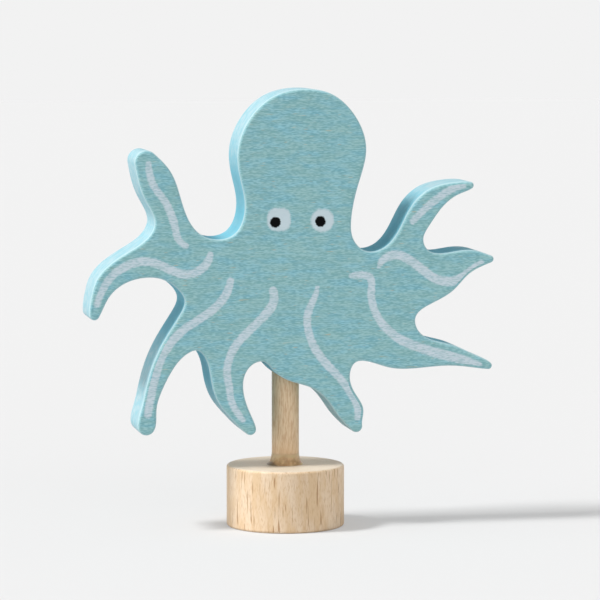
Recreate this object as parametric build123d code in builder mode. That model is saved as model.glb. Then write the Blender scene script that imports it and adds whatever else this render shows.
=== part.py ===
from build123d import *
from math import cos, radians, sin
import os

# Wooden octopus figurine: a sawn and painted plate on a dowel peg, which
# stands in a round wooden base. Millimetres, +Z up, the peg's axis is Z, the
# origin is the middle of the base's underside and the face looks along -Y.

# Base
base_diameter = 26.0
base_height = 13.6
base_edge_radius = 0.6

# Peg
peg_diameter = 6.0
peg_seat_depth = 9.0
peg_grip = 14.0
peg_end_chamfer = 0.4
fit_in_base = 0.08
fit_in_figure = 0.05
bore_end_gap = 0.3

# Octopus plate
figure_width = 90.0
figure_height = 75.6
arm_clearance = 7.3
plate_thickness = 12.0
rim_radius = 0.6
tip_radius = 0.8

# Paint
paint_thickness = 0.12
stroke_width = 1.6
eye_white_width = 5.3
eye_white_height = 5.1
pupil_diameter = 2.3

# Bead of wax round the peg's foot
bead_height = 2.8
bead_foot_diameter = 9.2
bead_foot_thickness = 0.2
bead_lip = 0.2
fit_in_bead = 0.1

# The base bore's cut runs on past the top of the wood by this much
cut_overrun = 2.0

# A tip's arc reaches this many degrees to each side of its heading
tip_half_turn = 70
# The rim's rounding is never more than this share of the sharpest tip
rim_limit_share = 0.8

# Shares of the figure: x of its width from the peg's axis, z of its height
# from the lowest arm tip.
peg_mouth_share = 0.155

# Arm tips in turn, from the upper left one down and round to the upper right
# one: the place of the tip's centre, its heading in degrees from +X, and its
# radius as a share of the sharpest one.
tip_shares = [
    (-0.351, 0.793, 118, 3.2),
    (-0.478, 0.357, 259, 1.4),
    (-0.353, 0.032, 261, 2.4),
    (-0.098, 0.017, 303, 1.6),
    (0.165, 0.019, 297, 1.7),
    (0.497, 0.188, 338, 1.0),
    (0.500, 0.501, 2, 1.0),
    (0.449, 0.717, 12, 1.0),
]

# The outline from each tip to the next, over the flanks and the valley
flank_shares = [
    [(-0.375, 0.760), (-0.355, 0.687), (-0.332, 0.612), (-0.342, 0.586), (-0.367, 0.558),
     (-0.407, 0.529), (-0.441, 0.501), (-0.472, 0.460), (-0.487, 0.402)],
    [(-0.441, 0.409), (-0.404, 0.446), (-0.367, 0.460), (-0.320, 0.459), (-0.278, 0.431),
     (-0.259, 0.394), (-0.273, 0.349), (-0.308, 0.283), (-0.338, 0.209), (-0.354, 0.145),
     (-0.367, 0.080)],
    [(-0.328, 0.080), (-0.313, 0.139), (-0.289, 0.193), (-0.255, 0.238), (-0.228, 0.249),
     (-0.206, 0.220), (-0.195, 0.164), (-0.177, 0.097), (-0.142, 0.044)],
    [(-0.098, 0.063), (-0.112, 0.110), (-0.113, 0.168), (-0.092, 0.205), (-0.066, 0.213),
     (-0.043, 0.189), (0.000, peg_mouth_share), (0.049, 0.136), (0.086, 0.105), (0.123, 0.045)],
    [(0.183, 0.066), (0.163, 0.114), (0.149, 0.167), (0.163, 0.205), (0.198, 0.206),
     (0.248, 0.188), (0.323, 0.185), (0.399, 0.190), (0.470, 0.181)],
    [(0.461, 0.222), (0.411, 0.249), (0.360, 0.265), (0.320, 0.295), (0.313, 0.333),
     (0.348, 0.370), (0.410, 0.413), (0.448, 0.459)],
    [(0.473, 0.524), (0.422, 0.527), (0.372, 0.520), (0.344, 0.530), (0.332, 0.561),
     (0.347, 0.601), (0.384, 0.660), (0.422, 0.692)],
    [(0.409, 0.727), (0.347, 0.708), (0.304, 0.663), (0.269, 0.587), (0.230, 0.537),
     (0.189, 0.530), (0.158, 0.563), (0.152, 0.622), (0.173, 0.737), (0.189, 0.824),
     (0.159, 0.926), (0.098, 0.988), (0.034, 1.000), (-0.033, 0.984), (-0.092, 0.927),
     (-0.129, 0.816), (-0.122, 0.741), (-0.111, 0.663), (-0.139, 0.582), (-0.186, 0.570),
     (-0.222, 0.587), (-0.261, 0.665), (-0.294, 0.770)],
]

# Middle line of each arm's brush stroke from its root to its tip: the place,
# and the width there as a share of the full stroke.
stroke_shares = [
    [(-0.255, 0.552, 0.6), (-0.276, 0.577, 0.8), (-0.283, 0.611, 0.9), (-0.294, 0.651, 0.9),
     (-0.311, 0.689, 0.8), (-0.331, 0.721, 0.8), (-0.343, 0.758, 0.8), (-0.346, 0.790, 0.6)],
    [(-0.196, 0.526, 0.7), (-0.208, 0.497, 1.0), (-0.234, 0.475, 1.0), (-0.266, 0.472, 1.0),
     (-0.300, 0.488, 1.0), (-0.331, 0.504, 1.0), (-0.368, 0.509, 1.0), (-0.404, 0.495, 1.0),
     (-0.436, 0.468, 0.9), (-0.458, 0.430, 0.8), (-0.472, 0.388, 0.7)],
    [(-0.147, 0.450, 0.8), (-0.159, 0.410, 1.0), (-0.188, 0.370, 1.0), (-0.228, 0.337, 1.0),
     (-0.267, 0.306, 1.0), (-0.298, 0.266, 1.0), (-0.320, 0.220, 1.0), (-0.332, 0.173, 1.0),
     (-0.342, 0.124, 1.0), (-0.350, 0.067, 0.9)],
    [(-0.043, 0.419, 1.0), (-0.041, 0.388, 1.1), (-0.057, 0.356, 1.1), (-0.080, 0.329, 1.0),
     (-0.104, 0.302, 1.0), (-0.128, 0.272, 1.0), (-0.143, 0.246, 1.0), (-0.153, 0.214, 0.9),
     (-0.156, 0.180, 0.9), (-0.151, 0.144, 0.9), (-0.147, 0.108, 0.8), (-0.134, 0.073, 0.8),
     (-0.117, 0.045, 0.6)],
    [(0.067, 0.427, 0.4), (0.058, 0.393, 0.7), (0.044, 0.354, 0.9), (0.042, 0.316, 0.9),
     (0.049, 0.283, 0.9), (0.060, 0.251, 1.0), (0.078, 0.220, 1.0), (0.100, 0.190, 1.0),
     (0.120, 0.165, 0.9), (0.139, 0.136, 0.9), (0.157, 0.103, 0.9), (0.167, 0.071, 0.8),
     (0.167, 0.044, 0.7)],
    [(0.150, 0.459, 0.5), (0.178, 0.461, 0.8), (0.198, 0.452, 0.9), (0.201, 0.419, 0.9),
     (0.202, 0.388, 0.9), (0.208, 0.361, 0.9), (0.218, 0.335, 0.9), (0.230, 0.315, 1.0),
     (0.248, 0.294, 1.0), (0.272, 0.272, 1.1), (0.298, 0.257, 1.1), (0.348, 0.235, 1.2),
     (0.399, 0.218, 1.2), (0.449, 0.201, 0.9), (0.474, 0.191, 0.6)],
    [(0.220, 0.484, 0.4), (0.227, 0.501, 0.8), (0.242, 0.512, 1.0), (0.260, 0.518, 1.1),
     (0.292, 0.505, 1.1), (0.328, 0.474, 1.1), (0.368, 0.443, 1.1), (0.388, 0.438, 1.1),
     (0.408, 0.439, 1.1), (0.423, 0.447, 1.0), (0.456, 0.475, 0.8), (0.478, 0.493, 0.5)],
    [(0.304, 0.614, 0.7), (0.324, 0.639, 0.8), (0.349, 0.665, 0.9), (0.374, 0.688, 0.9),
     (0.409, 0.710, 0.8), (0.431, 0.716, 0.6)],
]

# Eyes: the middle of the white, of the pupil, and the corner's share of the
# white's half height.
eye_shares = [
    ((-0.028, 0.625), (-0.037, 0.617), 0.75),
    ((0.079, 0.621), (0.074, 0.618), 0.98),
]

# Values that follow
peg_radius = peg_diameter / 2
figure_foot = base_height + arm_clearance
peg_foot = base_height - peg_seat_depth
peg_head = figure_foot + peg_mouth_share * figure_height + peg_grip
rim = min(rim_radius, rim_limit_share * tip_radius)
# The two faces of the plate: which way each one's paint builds up from XZ
faces = {"front": 1, "back": -1}


def place(share):
    """A point of the figure in the XZ plane."""
    return Vector(share[0] * figure_width, figure_foot + share[1] * figure_height)


def heading(angle):
    """A unit step at an angle from +X in the XZ plane."""
    return Vector(cos(radians(angle)), sin(radians(angle)))


def finish(piece, name):
    """Label a finished piece and write it."""
    piece.part.label = name
    export_step(piece.part, f"parts/{name}.step")


def draw_outline():
    """The octopus's closed outline: an arc at each tip, a curve to the next."""
    for index, (tip, flank) in enumerate(zip(tip_shares, flank_shares)):
        following = tip_shares[(index + 1) % len(tip_shares)]
        leaving_angle = tip[2] + tip_half_turn
        reaching_angle = following[2] - tip_half_turn
        CenterArc(
            place(tip), tip[3] * tip_radius, tip[2] - tip_half_turn, 2 * tip_half_turn
        )
        Spline(
            place(tip) + heading(leaving_angle) * tip[3] * tip_radius,
            *[place(share) for share in flank],
            place(following) + heading(reaching_angle) * following[3] * tip_radius,
            tangents=(heading(leaving_angle + 90), heading(reaching_angle + 90)),
            tangent_scalars=(1, 1),
        )


def draw_stroke(line):
    """A brush stroke: two curves beside its middle line, round at both ends."""
    points = [place(share) for share in line]
    steps = [
        (points[min(i + 1, len(points) - 1)] - points[max(i - 1, 0)]).normalized()
        for i in range(len(points))
    ]
    reaches = [share[2] * stroke_width / 2 for share in line]
    sides = [step.rotate(Axis.Z, 90) * reach for step, reach in zip(steps, reaches)]
    left = [point + side for point, side in zip(points, sides)]
    right = [point - side for point, side in zip(points, sides)]
    Spline(*left)
    ThreePointArc(left[-1], points[-1] + steps[-1] * reaches[-1], right[-1])
    Spline(*right)
    ThreePointArc(right[0], points[0] - steps[0] * reaches[0], left[0])


os.makedirs("parts", exist_ok=True)

# Base: a turned disc with a blind bore for the peg
with BuildPart() as base:
    with BuildSketch(Plane.XY):
        Circle(base_diameter / 2)
    extrude(amount=base_height)
    fillet(base.edges(), base_edge_radius)
    with BuildSketch(Plane.XY.offset(peg_foot)):
        Circle(peg_radius + fit_in_base)
    extrude(amount=peg_seat_depth + cut_overrun, mode=Mode.SUBTRACT)
finish(base, "base")

# Peg: a dowel that stands on the floor of the base's bore
with BuildPart() as peg:
    with BuildSketch(Plane.XY.offset(peg_foot)):
        Circle(peg_radius)
    extrude(amount=peg_head - peg_foot)
    chamfer(peg.edges(), peg_end_chamfer)
finish(peg, "peg")

# Wax bead: a collar round the peg's foot that flares out onto the base
bead_bore = peg_radius + fit_in_bead
bead_foot_radius = bead_foot_diameter / 2
with BuildPart() as wax_bead:
    with BuildSketch(Plane.XZ):
        with BuildLine():
            foot_top = (bead_foot_radius, base_height + bead_foot_thickness)
            lip_edge = (bead_bore + bead_lip, base_height + bead_height)
            Polyline(
                lip_edge,
                (bead_bore, base_height + bead_height),
                (bead_bore, base_height),
                (bead_foot_radius, base_height),
                foot_top,
            )
            Spline(foot_top, lip_edge, tangents=(heading(175), heading(95)))
        make_face()
    revolve(axis=Axis.Z)
finish(wax_bead, "wax_bead")

# Octopus: a sawn plate with rounded rims and a blind bore in its underside
with BuildPart() as octopus_plate:
    with BuildSketch(Plane.XZ):
        with BuildLine():
            draw_outline()
        make_face()
    extrude(amount=plate_thickness / 2, both=True)
    rims = octopus_plate.faces().filter_by(Axis.Y).edges()
    fillet(rims, rim)
    with BuildSketch(Plane.XY.offset(figure_foot)):
        Circle(peg_radius + fit_in_figure)
    extrude(amount=peg_head + bore_end_gap - figure_foot, mode=Mode.SUBTRACT)
finish(octopus_plate, "octopus_plate")

# Paint on both faces: a stroke along every arm, two eyes
for face, side in faces.items():
    wood_level = Plane.XZ.offset(side * plate_thickness / 2)
    white_level = wood_level.offset(side * paint_thickness)
    for number, line in enumerate(stroke_shares, start=1):
        with BuildPart() as stroke:
            with BuildSketch(wood_level):
                with BuildLine():
                    draw_stroke(line)
                make_face()
            extrude(amount=side * paint_thickness)
        finish(stroke, f"stroke_{face}_{number}")
    for number, (white_share, pupil_share, corner_share) in enumerate(eye_shares, start=1):
        with BuildPart() as white:
            with BuildSketch(wood_level):
                with Locations(place(white_share)):
                    RectangleRounded(
                        eye_white_width, eye_white_height, corner_share * eye_white_height / 2
                    )
            extrude(amount=side * paint_thickness)
        finish(white, f"eye_white_{face}_{number}")
        with BuildPart() as pupil:
            with BuildSketch(white_level):
                with Locations(place(pupil_share)):
                    Circle(pupil_diameter / 2)
            extrude(amount=side * paint_thickness)
        finish(pupil, f"pupil_{face}_{number}")
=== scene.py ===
# %% [markdown]
# An octopus figurine. A flat octopus is sawn from board, rounded at its rims, glazed
# turquoise and painted by hand. It stands on a dowel in a round beech base, and a bead of
# wax holds the dowel. The shapes were built to size beforehand and come in as a fixed
# frame. What is left for Blender is what the eye meets: glaze over grain, painted shade
# that deepens it in the notches between the arms and a painted highlight that pales it at
# the rims, dry brush strokes, beech, dowel and wax, and the light of a product photograph.

# %% The fixed frame
from math import radians

import bmesh
import bpy
from mathutils import Euler, Matrix, Vector, noise
from mathutils.bvhtree import BVHTree


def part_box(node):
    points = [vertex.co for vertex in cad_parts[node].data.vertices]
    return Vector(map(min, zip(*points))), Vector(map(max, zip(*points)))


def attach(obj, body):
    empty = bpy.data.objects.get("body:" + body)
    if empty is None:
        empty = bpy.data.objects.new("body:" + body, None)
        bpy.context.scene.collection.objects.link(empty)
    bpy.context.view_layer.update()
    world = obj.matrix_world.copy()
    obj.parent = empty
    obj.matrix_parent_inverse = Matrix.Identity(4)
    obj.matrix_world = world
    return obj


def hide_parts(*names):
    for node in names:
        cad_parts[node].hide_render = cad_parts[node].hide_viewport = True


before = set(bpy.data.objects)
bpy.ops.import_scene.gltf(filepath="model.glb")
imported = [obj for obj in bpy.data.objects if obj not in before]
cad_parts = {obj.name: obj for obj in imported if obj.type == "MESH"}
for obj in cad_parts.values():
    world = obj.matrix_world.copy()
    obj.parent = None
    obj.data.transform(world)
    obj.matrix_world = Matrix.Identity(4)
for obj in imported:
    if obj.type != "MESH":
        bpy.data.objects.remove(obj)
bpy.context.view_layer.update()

# %% [markdown]
# Everything is in metres. The sizes that the looks need are read from the frame, so they
# stay right if the figurine is rebuilt to another size: the board's two faces, the base's
# top, the peg's radius and the place of the bead.

# %% Sizes read from the frame
mm = 0.001
plate_low, plate_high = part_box("octopus_plate")
bead_low, bead_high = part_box("wax_bead")
face_levels = {"front": plate_low.y, "back": plate_high.y}
half_board = plate_high.y
base_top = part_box("base")[1].z
peg_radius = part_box("peg")[1].x
print("board", round((plate_high.y - plate_low.y) / mm, 2), "mm thick")
print("peg", round(2 * peg_radius / mm, 2), "mm across")

# %% [markdown]
# A material is a tree of nodes. Four small helpers keep the recipes short. The first turns
# a colour as a picture editor names it into the linear numbers that Blender mixes. The
# second adds a node. The third starts a material and the fourth closes it with a shader,
# whose bump lets the light catch the grain.

# %% Helpers for materials
def colour(code):
    """Linear red, green, blue and alpha of an sRGB hex code."""
    shares = [int(code[start:start + 2], 16) / 255 for start in (0, 2, 4)]
    return [s / 12.92 if s <= 0.04045 else ((s + 0.055) / 1.055) ** 2.4 for s in shares] + [1]


def add_node(tree, kind, entries):
    """Add a node. Each entry is one of its settings, an input's value or a socket to link."""
    node = tree.nodes.new(kind)
    for name, value in entries.items():
        if isinstance(value, bpy.types.NodeSocket):
            tree.links.new(value, node.inputs[name])
        elif isinstance(name, str) and hasattr(node, name):
            setattr(node, name, value)
        else:
            node.inputs[name].default_value = value
    return node


def new_material(name):
    """A material, its empty tree, and the place of each point in the object's own metres."""
    material = bpy.data.materials.new(name)
    material.use_nodes = True
    tree = material.node_tree
    tree.nodes.clear()
    return material, tree, add_node(tree, "ShaderNodeTexCoord", {}).outputs["Object"]


def close_material(tree, shade, finish, relief=None, relief_depth=0):
    """Put the colour and the finish on a shader, with a bump as deep as the relief."""
    entries = {"Base Color": shade, **finish}
    if relief is not None:
        bump = add_node(tree, "ShaderNodeBump", {"Distance": relief_depth, "Height": relief})
        entries["Normal"] = bump.outputs["Normal"]
    shader = add_node(tree, "ShaderNodeBsdfPrincipled", entries)
    add_node(tree, "ShaderNodeOutputMaterial", {"Surface": shader.outputs["BSDF"]})


print("a middle grey in linear numbers:", round(colour("808080")[0], 3))

# %% [markdown]
# Wood is drawn with noise that is stretched along the grain: it changes slowly along the
# fibres and fast across them. The stretch comes from a Mapping node, whose scale is one
# over the size that a feature has on the real thing. A picture of wood would blur from
# near and break at the rims, while noise in the object's own metres runs on round them.
# Where the noise passes from one value to another, one tone is laid over the other, as a
# thin coat gathers in some places and leaves others bare.

# %% Grain, and one tone laid over another
# A Mix node has sockets of the same name for several kinds of value: these are a colour's.
MIX_FACTOR, MIX_UNDER, MIX_OVER, MIX_RESULT = 0, 6, 7, 2
grain_roughness = 0.55


def grain(tree, place, size, finer=0):
    """Noise with features of this size along X, Y and Z, and finer layers added to them."""
    points = add_node(
        tree, "ShaderNodeMapping", {"Vector": place, "Scale": [1 / side for side in size]}
    )
    return add_node(tree, "ShaderNodeTexNoise", {
        "Vector": points.outputs["Vector"], "Scale": 1, "Detail": finer,
        "Roughness": grain_roughness,
    }).outputs["Fac"]


def laid_over(tree, under, over, measure, bare, covered, strength=1):
    """One colour over another, from none where the measure is bare to full where covered."""
    amount = add_node(tree, "ShaderNodeMapRange", {
        "interpolation_type": "SMOOTHSTEP", "Value": measure,
        "From Min": bare, "From Max": covered, "To Max": strength,
    })
    return add_node(tree, "ShaderNodeMix", {
        "data_type": "RGBA", MIX_FACTOR: amount.outputs["Result"],
        MIX_UNDER: under, MIX_OVER: over,
    }).outputs[MIX_RESULT]


print("mixing sockets", MIX_FACTOR, MIX_UNDER, MIX_OVER, MIX_RESULT)

# %% [markdown]
# The board is lime wood, sanded and brushed with a thin water-based glaze. The wet brush
# raised the grain, so the colour lies in short fine lines along X, deep in the grooves and
# pale on the ridges. Over a few millimetres it wanders from a greener tone, where the wood
# shows through, to a bluer one, where the glaze pooled, and a few fibres stayed bare.

# %% Glaze on the faces
# Real fibres are under 0.1 mm wide, too fine for the render: the lines are drawn coarser.
line_run = 0.78 * mm
line_pitch = 0.16 * mm
streak_run = 4.5 * mm
streak_pitch = 0.17 * mm
streak_share = 0.7
pool_run = 5.0 * mm
pool_width = 1.4 * mm
thin_pool, full_pool = 0.32, 0.86
fibre_run = 2.4 * mm
fibre_width = 0.32 * mm
groove_green = colour("80AFB2")
groove_blue = colour("74ACBB")
ridge_green = colour("9DC6C8")
ridge_blue = colour("94C9D6")
bare_fibre = colour("C3B595")

octopus_paint, tree, place = new_material("glazed_lime_wood")
lines = grain(tree, place, (line_run, line_pitch, line_pitch))
streaks = grain(tree, place, (streak_run, streak_pitch, streak_pitch), finer=2)
pools = grain(tree, place, (pool_run, pool_width, pool_width), finer=2)
fibres = grain(tree, place, (fibre_run, fibre_width, fibre_width), finer=1)
relief = add_node(tree, "ShaderNodeMath", {
    "operation": "MULTIPLY_ADD", 0: streaks, 1: streak_share, 2: lines,
}).outputs["Value"]
groove = laid_over(tree, groove_green, groove_blue, pools, bare=thin_pool, covered=full_pool)
ridge = laid_over(tree, ridge_green, ridge_blue, pools, bare=thin_pool, covered=full_pool)
shade = laid_over(tree, groove, ridge, relief, bare=0.58, covered=1.12)
shade = laid_over(tree, shade, bare_fibre, fibres, bare=0.68, covered=0.80, strength=0.5)
print("glaze on the faces:", len(tree.nodes), "nodes")

# %% [markdown]
# The sawn side walls took the glaze unevenly. They are paler and bluer than the faces, and
# cloudy instead of lined. A paler band along the rims is a painted highlight, for the light
# that the rounded rims catch. In the notches between the arms the colour is deepened as
# painted shade, for the shade that falls there. A node could look for such hollows while it
# renders, but that is slow and may get lost in an export, so a later cell measures them
# and the mesh carries the result.

# %% Glaze on the side walls
rim_width = 0.4 * mm
# Width of the painted highlight band along the rims.
rim_highlight_width = 0.4 * mm
wall_deep = colour("8FB8C2")
wall_pale = colour("A4BFC6")
# The deep blue of the painted shade in the notches between the arms.
notch_shade = colour("6CB7CA")
rim_highlight = colour("B0CCD1")

rim_from = half_board - rim_width
rim_highlight_from = rim_from - rim_highlight_width
from_middle = add_node(tree, "ShaderNodeMath", {
    "operation": "ABSOLUTE",
    0: add_node(tree, "ShaderNodeSeparateXYZ", {"Vector": place}).outputs["Y"],
}).outputs["Value"]
notch = add_node(tree, "ShaderNodeAttribute", {"attribute_name": "notch"}).outputs["Fac"]
wall = laid_over(tree, wall_deep, wall_pale, pools, bare=0.35, covered=0.65)
# Painted shade: the wall colour turns deeper where the notch measure says a point is enclosed.
wall = laid_over(tree, wall, notch_shade, notch, bare=0.28, covered=0.80, strength=0.80)
# Painted highlight: a paler band along the rims, where the rounded rims catch the light.
wall = laid_over(tree, wall, rim_highlight, from_middle, bare=rim_highlight_from, covered=rim_from)
shade = laid_over(tree, shade, wall, from_middle, bare=half_board, covered=rim_from)
print("the faces' glaze ends", round(rim_from / mm, 2), "mm from the board's middle")

# %% [markdown]
# The strokes and the eyes are opaque acrylic, brushed on top of the glaze. A stroke could
# be a thin piece of its own, but its edge would be as clean as a cut. Here the mesh
# carries three values, each of which says how many millimetres deep a point lies inside
# that paint, and noise pushes the edge in and out. A dry brush misses the grooves, so a
# stroke covers less there.

# %% Brush strokes and eyes
# The edges' softness, raggedness and spread are in millimetres, as the mesh's values are.
stroke_edge = {"softness": 0.26, "raggedness": 0.50, "spread": 0.11}
white_edge = {"softness": 0.34, "raggedness": 0.60, "spread": -0.08}
pupil_edge = {"softness": 0.14, "raggedness": 0.50, "spread": 0.04}
ragged_size = 0.45 * mm
groove_cover = 0.5
stroke_white = colour("C9D8E1")
eye_white = colour("C6D7DE")
pupil_black = colour("010102")


def painted(tree, place, under, paint, value_name, softness, raggedness, spread, strength=1):
    """Paint over a colour where the mesh's value says so, with a ragged edge."""
    depth = add_node(tree, "ShaderNodeAttribute", {"attribute_name": value_name})
    pushed = add_node(tree, "ShaderNodeMath", {
        "operation": "MULTIPLY_ADD", 0: grain(tree, place, [ragged_size] * 3, finer=2),
        1: raggedness, 2: depth.outputs["Fac"],
    })
    edge = raggedness / 2 - spread
    return laid_over(
        tree, under, paint, pushed.outputs["Value"], edge - softness, edge + softness, strength
    )


dry_brush = add_node(tree, "ShaderNodeMapRange", {
    "interpolation_type": "SMOOTHSTEP", "Value": relief,
    "From Min": 0.6, "From Max": 1, "To Min": groove_cover,
}).outputs["Result"]
shade = painted(
    tree, place, shade, stroke_white, "stroke_depth", **stroke_edge, strength=dry_brush
)
shade = painted(tree, place, shade, eye_white, "white_depth", **white_edge)
shade = painted(tree, place, shade, pupil_black, "pupil_depth", **pupil_edge)

# The glaze and the acrylic are both matt: the eye meets their colour and hardly a gleam,
# and grazing light picks out the raised grain.
raised_grain = 0.05 * mm
matt_glaze = {"Roughness": 0.8, "IOR": 1.5, "Specular IOR Level": 0.1}
close_material(tree, shade, matt_glaze, relief, raised_grain)
print("octopus paint:", len(tree.nodes), "nodes")

# %% [markdown]
# The base is turned from beech with the grain upright, and sanded. Beech is pale and
# close, and its rays show on the side as short dark flecks. The same noise, stretched
# along Z, gives upright bands and lines there and fine specks on the end grain of the top.
# The top is greyer. This is partly the end grain's own tone and partly a painted reflection
# of the bluish light that the figure above throws down. The solid is already the right
# shape, so it only gets this material.

# %% Beech
# Real pores are under 0.1 mm wide, too fine for the render: they are drawn coarser.
pore_width = 0.22 * mm
pore_run = 1.2 * mm
band_width = 2.2 * mm
band_run = 9.0 * mm
fleck_width = 0.34 * mm
fleck_run = 5.0 * mm
end_depth = 0.25 * mm
beech_cream = colour("E1CAAE")
beech_tan = colour("D7BA95")
beech_line = colour("C7A47C")
beech_fleck = colour("9C7043")
end_grain_and_reflection = colour("D3C7B6")


def dress(node, material):
    """Give a solid of the frame this material in place of its plain one."""
    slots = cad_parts[node].data.materials
    slots.clear()
    slots.append(material)


beech, tree, place = new_material("turned_beech")
bands = grain(tree, place, (band_width, band_width, band_run), finer=2)
pores = grain(tree, place, (pore_width, pore_width, pore_run), finer=1)
flecks = grain(tree, place, (fleck_width, fleck_width, fleck_run))
height = add_node(tree, "ShaderNodeSeparateXYZ", {"Vector": place}).outputs["Z"]
end_from = base_top - end_depth
shade = laid_over(tree, beech_cream, beech_tan, bands, bare=0.35, covered=0.65)
shade = laid_over(tree, shade, beech_line, pores, bare=0.55, covered=0.25, strength=0.70)
shade = laid_over(tree, shade, beech_fleck, flecks, bare=0.32, covered=0.22, strength=0.75)
# The top's greyer tone: the end grain's own colour, and a painted reflection of light from the
# figure.
shade = laid_over(tree, shade, end_grain_and_reflection, height, bare=end_from, covered=base_top, strength=0.7)

# Sanded beech: a soft, broad sheen that the pores break up.
sanding_depth = 0.03 * mm
sanded_beech = {"Roughness": 0.55, "IOR": 1.5}
close_material(tree, shade, sanded_beech, pores, sanding_depth)
dress("base", beech)
print("beech:", len(tree.nodes), "nodes")

# %% [markdown]
# The peg is a hardwood dowel, browner than the base, with fine upright pores. Near its
# foot it has taken up some wax and is darker. Its solid stays too, and its lines are the
# same stretched noise with sizes of their own.

# %% Dowel
dowel_width = 0.30 * mm
dowel_run = 2.4 * mm
waxed_height = 6.0 * mm
dowel_tan = colour("DFC6A3")
dowel_brown = colour("CAA782")
dowel_waxed = colour("D6A878")

dowel, tree, place = new_material("hardwood_dowel")
lines = grain(tree, place, (dowel_width, dowel_width, dowel_run), finer=2)
height = add_node(tree, "ShaderNodeSeparateXYZ", {"Vector": place}).outputs["Z"]
dry_from = base_top + waxed_height
shade = laid_over(tree, dowel_tan, dowel_brown, lines, bare=0.60, covered=0.34)
shade = laid_over(tree, shade, dowel_waxed, height, bare=dry_from, covered=base_top, strength=0.55)

# Planed hardwood: a little smoother than the base, so that its edge catches some light.
planed_dowel = {"Roughness": 0.5, "IOR": 1.5}
close_material(tree, shade, planed_dowel, lines, sanding_depth)
dress("peg", dowel)
print("dowel:", len(tree.nodes), "nodes")

# %% [markdown]
# The octopus keeps the shape that the frame gives it, but the paint needs more points
# than a flat face has. Subdividing would bend long thin triangles, so a copy of the board
# is merged, each of its two faces becomes one large polygon, and planes cut it into small
# squares, first one way and then the other.

# %% Cut the painted faces into squares
square = 0.4 * mm
level_slack = 0.002 * mm
merge_reach = 0.0005 * mm
ALONG, UP = 0, 2


def edges_and_points(faces):
    """The faces with their edges and points, each once."""
    edges = {edge for face in faces for edge in face.edges}
    points = {point for face in faces for point in face.verts}
    return list(faces) + list(edges) + list(points)


def cut_across(mesh, faces, axis, low, high):
    """Cut the faces with planes square to the axis, one square's width apart."""
    done, ahead = [], faces
    direction = Vector([float(index == axis) for index in range(3)])
    step = low + square
    while step < high:
        result = bmesh.ops.bisect_plane(
            mesh, geom=edges_and_points(ahead), dist=merge_reach,
            plane_co=direction * step, plane_no=direction,
        )
        cut = [item for item in result["geom"] if isinstance(item, bmesh.types.BMFace)]
        done += [face for face in cut if face.calc_center_median()[axis] <= step]
        ahead = [face for face in cut if face.calc_center_median()[axis] > step]
        step += square
    return done + ahead


octopus_mesh = bmesh.new()
octopus_mesh.from_mesh(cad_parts["octopus_plate"].data)
bmesh.ops.remove_doubles(octopus_mesh, verts=octopus_mesh.verts, dist=merge_reach)
for level in face_levels.values():
    flat = [
        face for face in octopus_mesh.faces
        if all(abs(point.co.y - level) < level_slack for point in face.verts)
    ]
    flat = bmesh.ops.dissolve_faces(octopus_mesh, faces=flat)["region"]
    flat = cut_across(octopus_mesh, flat, ALONG, plate_low.x, plate_high.x)
    flat = cut_across(octopus_mesh, flat, UP, plate_low.z, plate_high.z)
    print("face at", round(level / mm, 2), "mm:", len(flat), "squares and edge pieces")

# %% [markdown]
# The frame holds each stroke, eye white and pupil as a thin film. Their outlines could be
# drawn again as curves, but measuring the films keeps the paint where the solids have it.
# A film without its front and back is a ring of walls. For each point of the cut faces,
# the nearest point of that ring says how far the edge is, and the wall's normal there says
# which side the point is on.

# %% Measure how deep each point lies in the paint
# A normal with more than this share of its length across the board belongs to a flat side,
# and one with more than this share in the board's plane belongs to a side wall.
facing_share = 0.5
paint_reach = 3.0 * mm
paints = {"stroke_depth": "stroke", "white_depth": "eye_white", "pupil_depth": "pupil"}


def paint_walls(node):
    """The side walls of a film of paint, as a tree that finds the nearest point on them."""
    film = bmesh.new()
    film.from_mesh(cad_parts[node].data)
    caps = [face for face in film.faces if abs(face.normal.y) > facing_share]
    bmesh.ops.delete(film, geom=caps, context="FACES_ONLY")
    walls = BVHTree.FromBMesh(film)
    film.free()
    return walls


def depth_in(walls, point):
    """Millimetres inside the film, less than 0 outside it, and None out of reach."""
    nearest, normal, _, distance = walls.find_nearest(point, paint_reach)
    if nearest is None:
        return None
    side = -1 if (point - nearest).dot(normal) > 0 else 1
    return side * distance / mm


for value_name, paint in paints.items():
    layer = octopus_mesh.verts.layers.float.new(value_name)
    for point in octopus_mesh.verts:
        point[layer] = -paint_reach / mm
    for face_name, level in face_levels.items():
        on_face = [p for p in octopus_mesh.verts if abs(p.co.y - level) < level_slack]
        for name in sorted(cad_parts):
            if not name.startswith(f"{paint}_{face_name}"):
                continue
            walls = paint_walls(name)
            low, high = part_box(name)
            middle = (low.y + high.y) / 2
            reach = Vector((paint_reach, 0, paint_reach))
            low, high = low - reach, high + reach
            for point in on_face:
                if low.x < point.co.x < high.x and low.z < point.co.z < high.z:
                    depth = depth_in(walls, Vector((point.co.x, middle, point.co.z)))
                    if depth is not None and depth > point[layer]:
                        point[layer] = depth
    deepest = max(point[layer] for point in octopus_mesh.verts)
    print(paint, "deepest point", round(deepest, 2), "mm")

# %% [markdown]
# A notch is a place on a side wall that other arms or the head stand over. From each point
# of the walls a fan of rays goes out in the board's own plane, and the share of them that
# soon hits the figurine says how enclosed the point is. The rays start a little off the
# wall, because one that starts on it hits its neighbours at the tight tips of the arms.

# %% Measure how enclosed each point of the side walls is
notch_reach = 22 * mm
notch_lift = 0.5 * mm
notch_rays = 9
ray_step = radians(180) / notch_rays

skin = BVHTree.FromBMesh(octopus_mesh)
octopus_mesh.normal_update()
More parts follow.
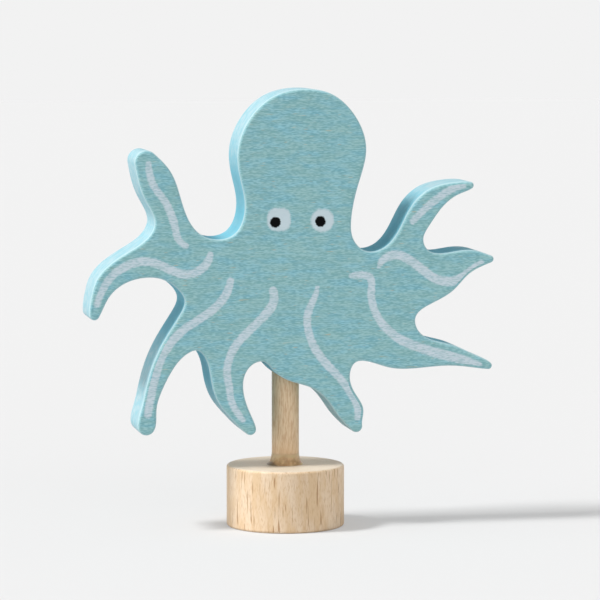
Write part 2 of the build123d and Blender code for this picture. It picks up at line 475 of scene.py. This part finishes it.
# This measure decides where painted shade deepens the colour of the side walls.
layer = octopus_mesh.verts.layers.float.new("notch")
for point in octopus_mesh.verts:
    outward = Vector((point.normal.x, 0, point.normal.z))
    if outward.length < facing_share:
        continue
    outward.normalize()
    start = Vector((point.co.x, 0, point.co.z)) + outward * notch_lift
    hits = 0
    for ray in range(notch_rays):
        swing = ray_step * (ray + 0.5) - radians(90)
        direction = Matrix.Rotation(swing, 3, "Y") @ outward
        hits += skin.ray_cast(start, direction, notch_reach)[0] is not None
    point[layer] = hits / notch_rays
print("deepest notch", round(max(point[layer] for point in octopus_mesh.verts), 2))

# %% [markdown]
# The cut and measured mesh becomes the octopus that shows. It rides on the body of the
# figure, so it turns and lifts with it, and it stands for the board and for all the films
# of paint, which its material now draws. Smooth shading suits the rounded rims, and the
# faces beside them are so small that the two flat sides still look flat.

# %% Make the octopus
def make_piece(name, mesh, body, slot, material, *nodes):
    """Turn a bmesh into a smooth piece that rides on a body in place of these nodes."""
    data = bpy.data.meshes.new(name)
    mesh.to_mesh(data)
    mesh.free()
    data.materials.append(material)
    data.shade_smooth()
    piece = bpy.data.objects.new(name, data)
    bpy.context.scene.collection.objects.link(piece)
    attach(piece, body)
    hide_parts(*nodes)
    print(name, "has", len(data.polygons), "faces")


films = [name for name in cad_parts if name.startswith(tuple(paints.values()))]
make_piece(
    "painted_octopus", octopus_mesh, "figure", "glazed_wood", octopus_paint,
    "octopus_plate", *films,
)

# %% [markdown]
# The bead of wax was dripped round the peg's foot by hand. It is amber and cloudy, thins to
# the wood's own tone up the peg, and ends in a low drip at the left. Its colour runs darker
# towards the left and paler towards the right. Wax lets some light into its surface, which
# subsurface scattering shows.

# %% Wax
cloud_size = 1.6 * mm
thin_height = 2.0 * mm
drip_direction = Vector((-0.94, -0.34, 0))
darker_from, darker_to = 3.1 * mm, 3.9 * mm
paler_from, paler_to = 2.8 * mm, 3.6 * mm
wax_amber = colour("A88358")
wax_pale = colour("C9A87C")
wax_thin = colour("D8B287")
wax_darker_left = colour("5E4E38")
wax_paler_right = colour("DACDB4")

wax, tree, place = new_material("amber_wax")
clouds = grain(tree, place, [cloud_size] * 3, finer=3)
height = add_node(tree, "ShaderNodeSeparateXYZ", {"Vector": place}).outputs["Z"]
toward_drip = add_node(tree, "ShaderNodeVectorMath", {
    "operation": "DOT_PRODUCT", 0: place, 1: drip_direction,
}).outputs["Value"]
thin_from = bead_high.z - thin_height
shade = laid_over(tree, wax_amber, wax_pale, clouds, bare=0.40, covered=0.65)
shade = laid_over(tree, shade, wax_thin, height, thin_from, bead_high.z, strength=0.9)
# Darker towards the drip at the left.
shade = laid_over(tree, shade, wax_darker_left, toward_drip, darker_from, darker_to, strength=0.85)
# Paler towards the right.
shade = laid_over(tree, shade, wax_paler_right, toward_drip, -paler_from, -paler_to, strength=0.8)

# Set wax: a smooth, slightly greasy gleam, and a soft glow at its thin edges.
glow_depth = 1.0 * mm
soft_wax = {
    "Roughness": 0.35, "IOR": 1.44, "Subsurface Weight": 0.3, "Subsurface Scale": glow_depth,
}
close_material(tree, shade, soft_wax)
print("wax:", len(tree.nodes), "nodes")

# %% [markdown]
# The collar is round but not turned. A short profile is spun round the peg, which closes
# the ring in one step. Then noise moves its skin, and low down on the drip's side the skin
# is drawn out to the edge of the solid bead. The profile is written in shares of the
# bead's own width and height. Edges that turn sharply, as the thin one at the top does,
# are marked sharp, because smooth shading would draw a dark line along them.

# %% Wax collar
wax_gap = 0.02 * mm
wobble = 0.18 * mm
drip_height = 0.7 * mm
drip_sharpness = 8
sharp_from = radians(60)
spin_steps = 64
# The skin is held at the peg, and comes loose three times as fast as the profile widens.
loosening = 3
profile_shares = [
    (0, 0), (0.62, 0), (0.58, 0.05), (0.42, 0.13), (0.27, 0.27), (0.15, 0.44), (0.07, 0.62),
    (0.02, 0.80), (0, 0.90),
]
bead_radius = bead_high.x
inner_radius = peg_radius + wax_gap
flare = bead_radius - inner_radius
bead_height = bead_high.z - bead_low.z

wax_mesh = bmesh.new()
profile = [
    wax_mesh.verts.new((inner_radius + out * flare, 0, bead_low.z + up * bead_height))
    for out, up in profile_shares
]
outline = [wax_mesh.edges.new(pair) for pair in zip(profile, profile[1:] + profile[:1])]
bmesh.ops.spin(
    wax_mesh, geom=profile + outline, cent=(0, 0, 0), axis=(0, 0, 1),
    angle=radians(360), steps=spin_steps, use_merge=True,
)
bmesh.ops.recalc_face_normals(wax_mesh, faces=wax_mesh.faces)
for point in wax_mesh.verts:
    outward = Vector((point.co.x, point.co.y, 0))
    reach = outward.length
    outward.normalize()
    loose = min(1, loosening * max(0, (reach - inner_radius) / flare))
    leftness = max(0, outward.dot(drip_direction)) ** drip_sharpness
    lowness = max(0, 1 - (point.co.z - bead_low.z) / drip_height)
    push = noise.noise(point.co / cloud_size) * wobble
    push += (bead_radius - wobble - reach) * leftness * lowness
    point.co += outward * push * loose
for edge in wax_mesh.edges:
    edge.smooth = edge.calc_face_angle() < sharp_from
make_piece("wax_collar", wax_mesh, "stand", "wax", wax, "wax_bead")

# %% [markdown]
# The figurine stands on one sheet of pale paper. Lit as it is, the paper would come out
# darker or lighter than the pale backdrop of such a photograph, and more light on it would
# burn out the figurine. So the camera sees a mix of its own: a darker paper that still
# takes the shadow, and a glow that lifts it to the backdrop's tone. All other rays see
# plain pale paper, which throws the light back up at the underside of the arms.

# %% Paper
# Matt paper: no gleam, and an edge that can't be told from the backdrop.
paper_size = 6000 * mm
paper_white = colour("CDCDCD")
paper_shade = colour("B1B1B1")
paper_glow = colour("8F8F8F")

paper = bpy.data.materials.new("seamless_paper")
paper.use_nodes = True
tree = paper.node_tree
tree.nodes.clear()
plain = add_node(tree, "ShaderNodeBsdfDiffuse", {"Color": paper_white})
shaded = add_node(tree, "ShaderNodeBsdfDiffuse", {"Color": paper_shade})
glow = add_node(tree, "ShaderNodeEmission", {"Color": paper_glow})
seen_paper = add_node(tree, "ShaderNodeAddShader", {
    0: shaded.outputs["BSDF"], 1: glow.outputs["Emission"],
})
path = add_node(tree, "ShaderNodeLightPath", {})
surface = add_node(tree, "ShaderNodeMixShader", {
    0: path.outputs["Is Camera Ray"], 1: plain.outputs["BSDF"], 2: seen_paper.outputs["Shader"],
})
add_node(tree, "ShaderNodeOutputMaterial", {"Surface": surface.outputs["Shader"]})

sheet = bmesh.new()
bmesh.ops.create_grid(sheet, x_segments=1, y_segments=1, size=paper_size / 2)
floor_data = bpy.data.meshes.new("paper_floor")
sheet.to_mesh(floor_data)
sheet.free()
floor_data.materials.append(paper)
floor = bpy.data.objects.new("paper_floor", floor_data)
bpy.context.scene.collection.objects.link(floor)
print("paper", paper_size, "m square")

# %% [markdown]
# The room round the paper is white. A picture of a studio could stand round it, but plain
# light needs only a plain world. The camera and any gleam on the figurine see it at its own
# tone, and it lights the scene at a lower level, so that the lamps set the shading.

# %% White room
backdrop = colour("F2F2F2")
white = colour("FFFFFF")
fill_strength = 0.44

world = bpy.data.worlds.new("white_room")
bpy.context.scene.world = world
world.use_nodes = True
tree = world.node_tree
tree.nodes.clear()
path = add_node(tree, "ShaderNodeLightPath", {})
seen = add_node(tree, "ShaderNodeMath", {
    "operation": "MAXIMUM", 0: path.outputs["Is Camera Ray"], 1: path.outputs["Is Glossy Ray"],
})
lit = add_node(tree, "ShaderNodeBackground", {"Color": white, "Strength": fill_strength})
shown = add_node(tree, "ShaderNodeBackground", {"Color": backdrop})
mixed = add_node(tree, "ShaderNodeMixShader", {
    0: seen.outputs["Value"], 1: lit.outputs["Background"], 2: shown.outputs["Background"],
})
add_node(tree, "ShaderNodeOutputWorld", {"Surface": mixed.outputs["Shader"]})
print("room lights at", fill_strength)

# %% [markdown]
# Four far lamps light the figurine. The key stands high at the left, so that the upper left
# walls shine, the right of the base falls off and a shadow runs to the right. A wide soft
# box lies low at the left and lights the walls that face it, another in front fills the
# painted face, and a weak one from the right stands for light that the room throws back.
# Sun lamps do this simply: they have a direction and a width on the sky but no distance.

# %% Lamps
# Each lamp has its strength, then its width, its height and its turn in degrees. A turn of
# 0 is at the left, 90 in front and 180 at the right.
lamps = {
    "key_from_the_left": (3.0, 12, 54, 6),
    "soft_box_at_the_left": (1.15, 50, 12, 0),
    "soft_box_in_front": (0.5, 60, 25, 100),
    "bounce_from_the_right": (0.45, 60, 14, 175),
}
for name, (strength, width, rise, turn) in lamps.items():
    lamp_data = bpy.data.lights.new(name, "SUN")
    lamp_data.energy = strength
    lamp_data.angle = radians(width)
    lamp = bpy.data.objects.new(name, lamp_data)
    lamp.rotation_euler = Euler((radians(90) - radians(rise), 0, radians(turn) - radians(90)))
    bpy.context.scene.collection.objects.link(lamp)
print("lamps:", ", ".join(lamps))

# %% [markdown]
# The camera stands a little to the left and a little above, with a long lens, as the thin
# strips of side wall at the left and at the top of the arms show. Its place was found by
# fitting the outline of the board to the photograph.

# %% Camera
aim_right = 3.3 * mm
aim_height = 49.9 * mm
camera_distance = 724 * mm
camera_turn = radians(-10.9)
camera_rise = radians(5.25)
lens_mm = 197.1
sensor_mm = 36

aim = Vector((aim_right, 0, aim_height))
camera_data = bpy.data.cameras.new("camera")
camera_data.lens = lens_mm
camera_data.sensor_width = sensor_mm
camera = bpy.data.objects.new("camera", camera_data)
camera.rotation_euler = Euler((radians(90) - camera_rise, 0, camera_turn))
camera.location = aim + camera.rotation_euler.to_matrix() @ Vector((0, 0, camera_distance))
bpy.context.scene.collection.objects.link(camera)
bpy.context.scene.camera = camera
bpy.context.scene.view_settings.view_transform = "Standard"
print("camera at", [round(value, 4) for value in camera.location])
